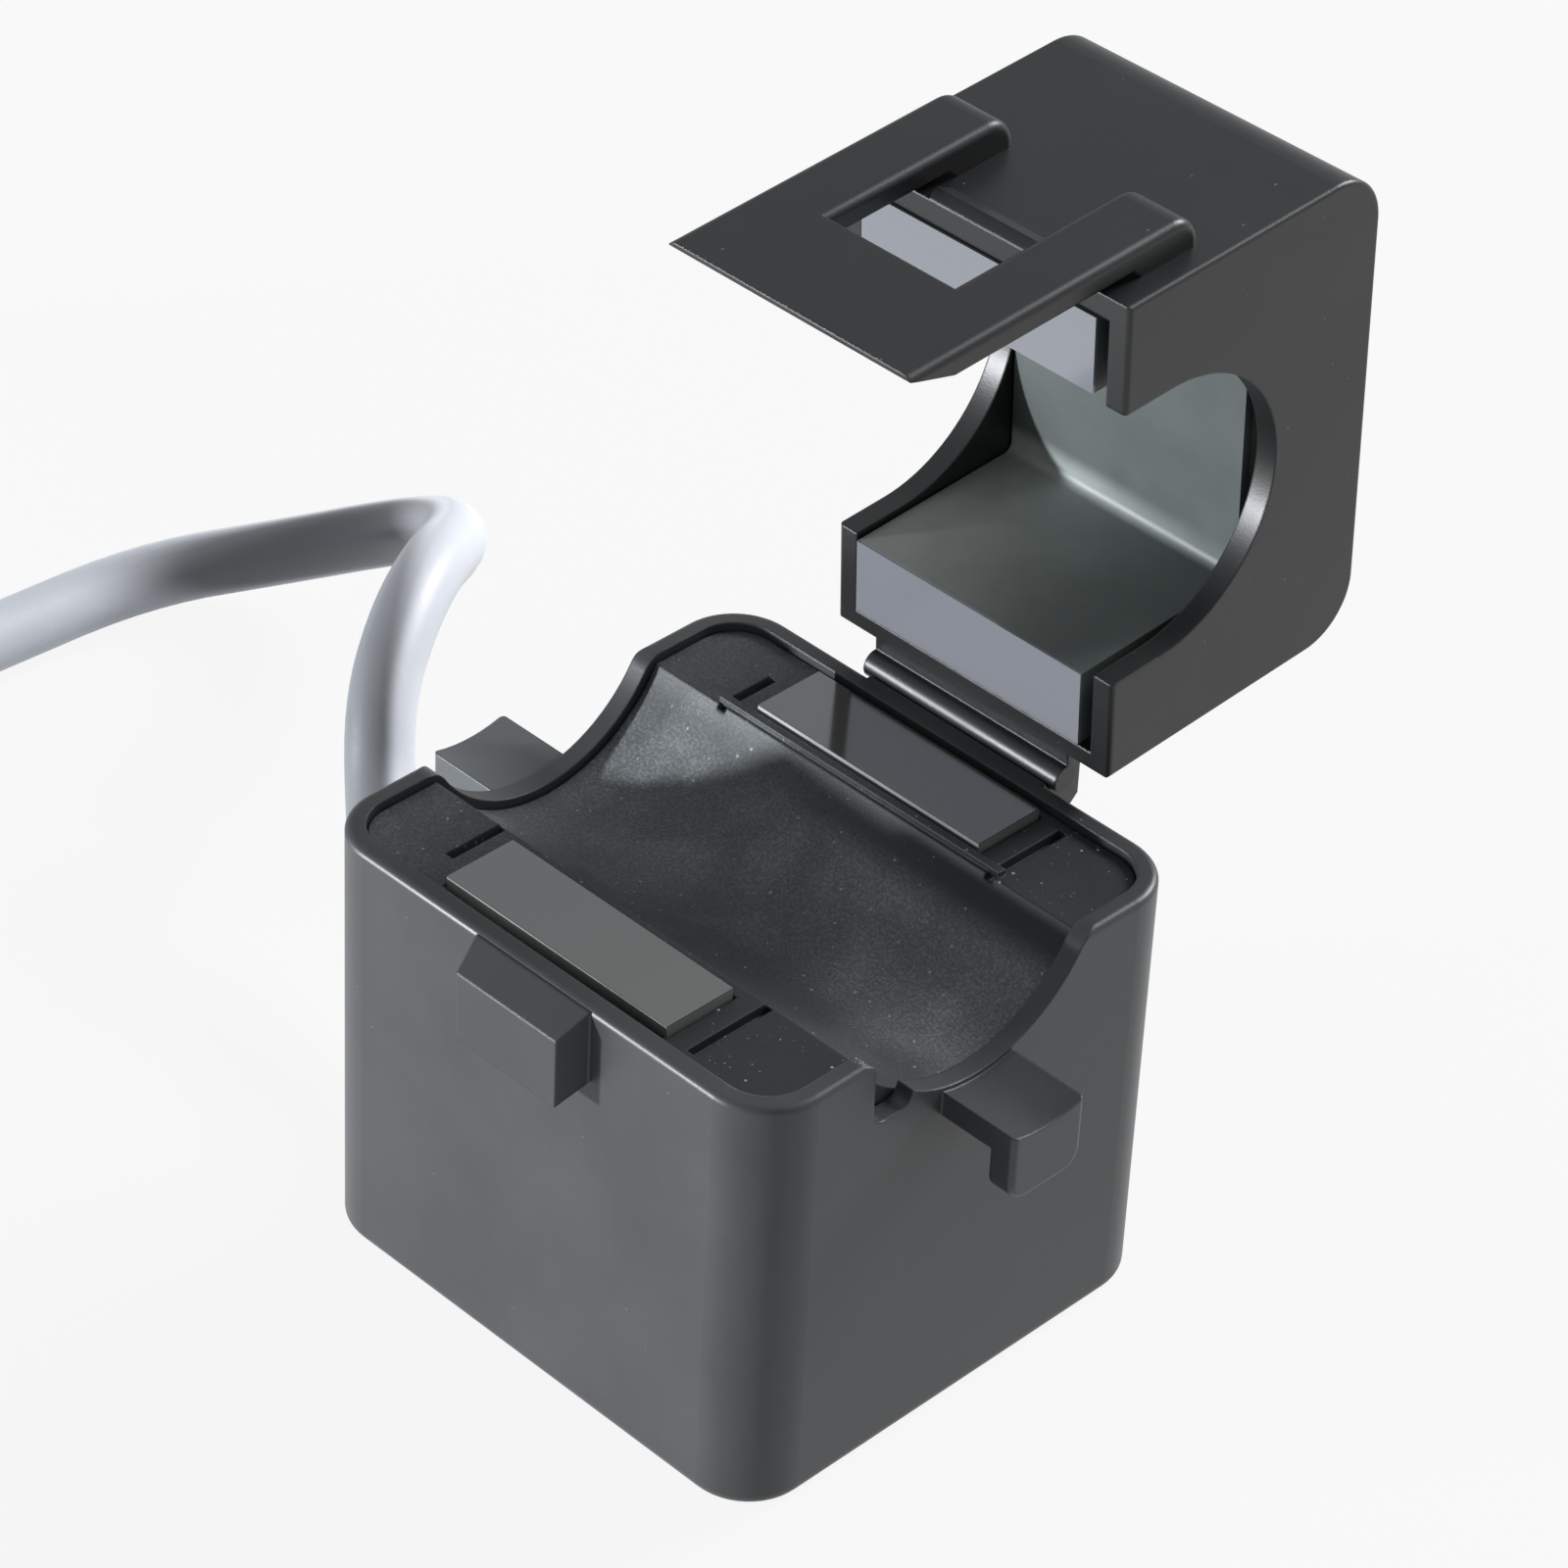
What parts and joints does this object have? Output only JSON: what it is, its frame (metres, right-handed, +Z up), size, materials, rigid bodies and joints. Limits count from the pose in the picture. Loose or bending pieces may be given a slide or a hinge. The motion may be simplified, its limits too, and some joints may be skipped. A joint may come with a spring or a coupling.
{
  "type": "split-core current transformer",
  "caption": "Hinged split-core current sensor, lid open, with a snap catch, cable-tie tongues and an output cable wound up beside it.",
  "frame": {"origin": "middle of the base's flat underside", "axes": "+X along the conductor's axis, +Y towards the hinge, +Z up, out of the base towards its open top"},
  "size_m": [0.1392, 0.0799, 0.0589],
  "materials": {
    "housing": "black nylon, semi-gloss",
    "insert": "black nylon, semi-gloss, dusty",
    "ferrite": "grey ferrite, satin, ground bright on the pole faces",
    "former": "natural nylon",
    "winding": "enamelled copper wire",
    "tape": "yellow insulating tape",
    "pins": "tinned",
    "board": "green laminate",
    "chip": "black epoxy",
    "cushion": "closed-cell foam",
    "bush": "grey, matt",
    "white_wire": "white insulation",
    "black_wire": "black insulation",
    "cable": "light grey PVC jacket",
    "tie": "black",
    "bare_wire": "tinned copper",
    "spring": "spring steel"
  },
  "bodies": {
    "base": {"base_shell": "housing", "base_insert": "insert", "lower_core": "ferrite", "coil_former_lower": "former", "coil_former_upper": "former", "winding": "winding", "winding_tape": "tape", "terminal_pins": "pins", "circuit_board": "board", "burden_resistor": "chip", "clamp_diode": "chip", "core_cushions": "cushion", "cable_bush": "bush", "wire_lead_white": "white_wire", "wire_lead_black": "black_wire", "output_cable": "cable", "cable_coil": "cable", "coil_tie": "tie", "cable_tail": "cable", "tail_wires": "white_wire", "wire_tips": "bare_wire"},
    "lid": {"lid_shell": "housing", "latch_strap": "housing", "upper_core": "ferrite", "core_spring": "spring", "side_pad": "cushion"}
  },
  "joints": [
    {"name": "lid_hinge", "type": "hinge", "parent": "base", "child": "lid", "pos_m": [0, 0.0159, 0.02618], "axis": [1, 0, 0], "range_deg": [0, 87], "deforming": ["latch_strap"]}
  ]
}
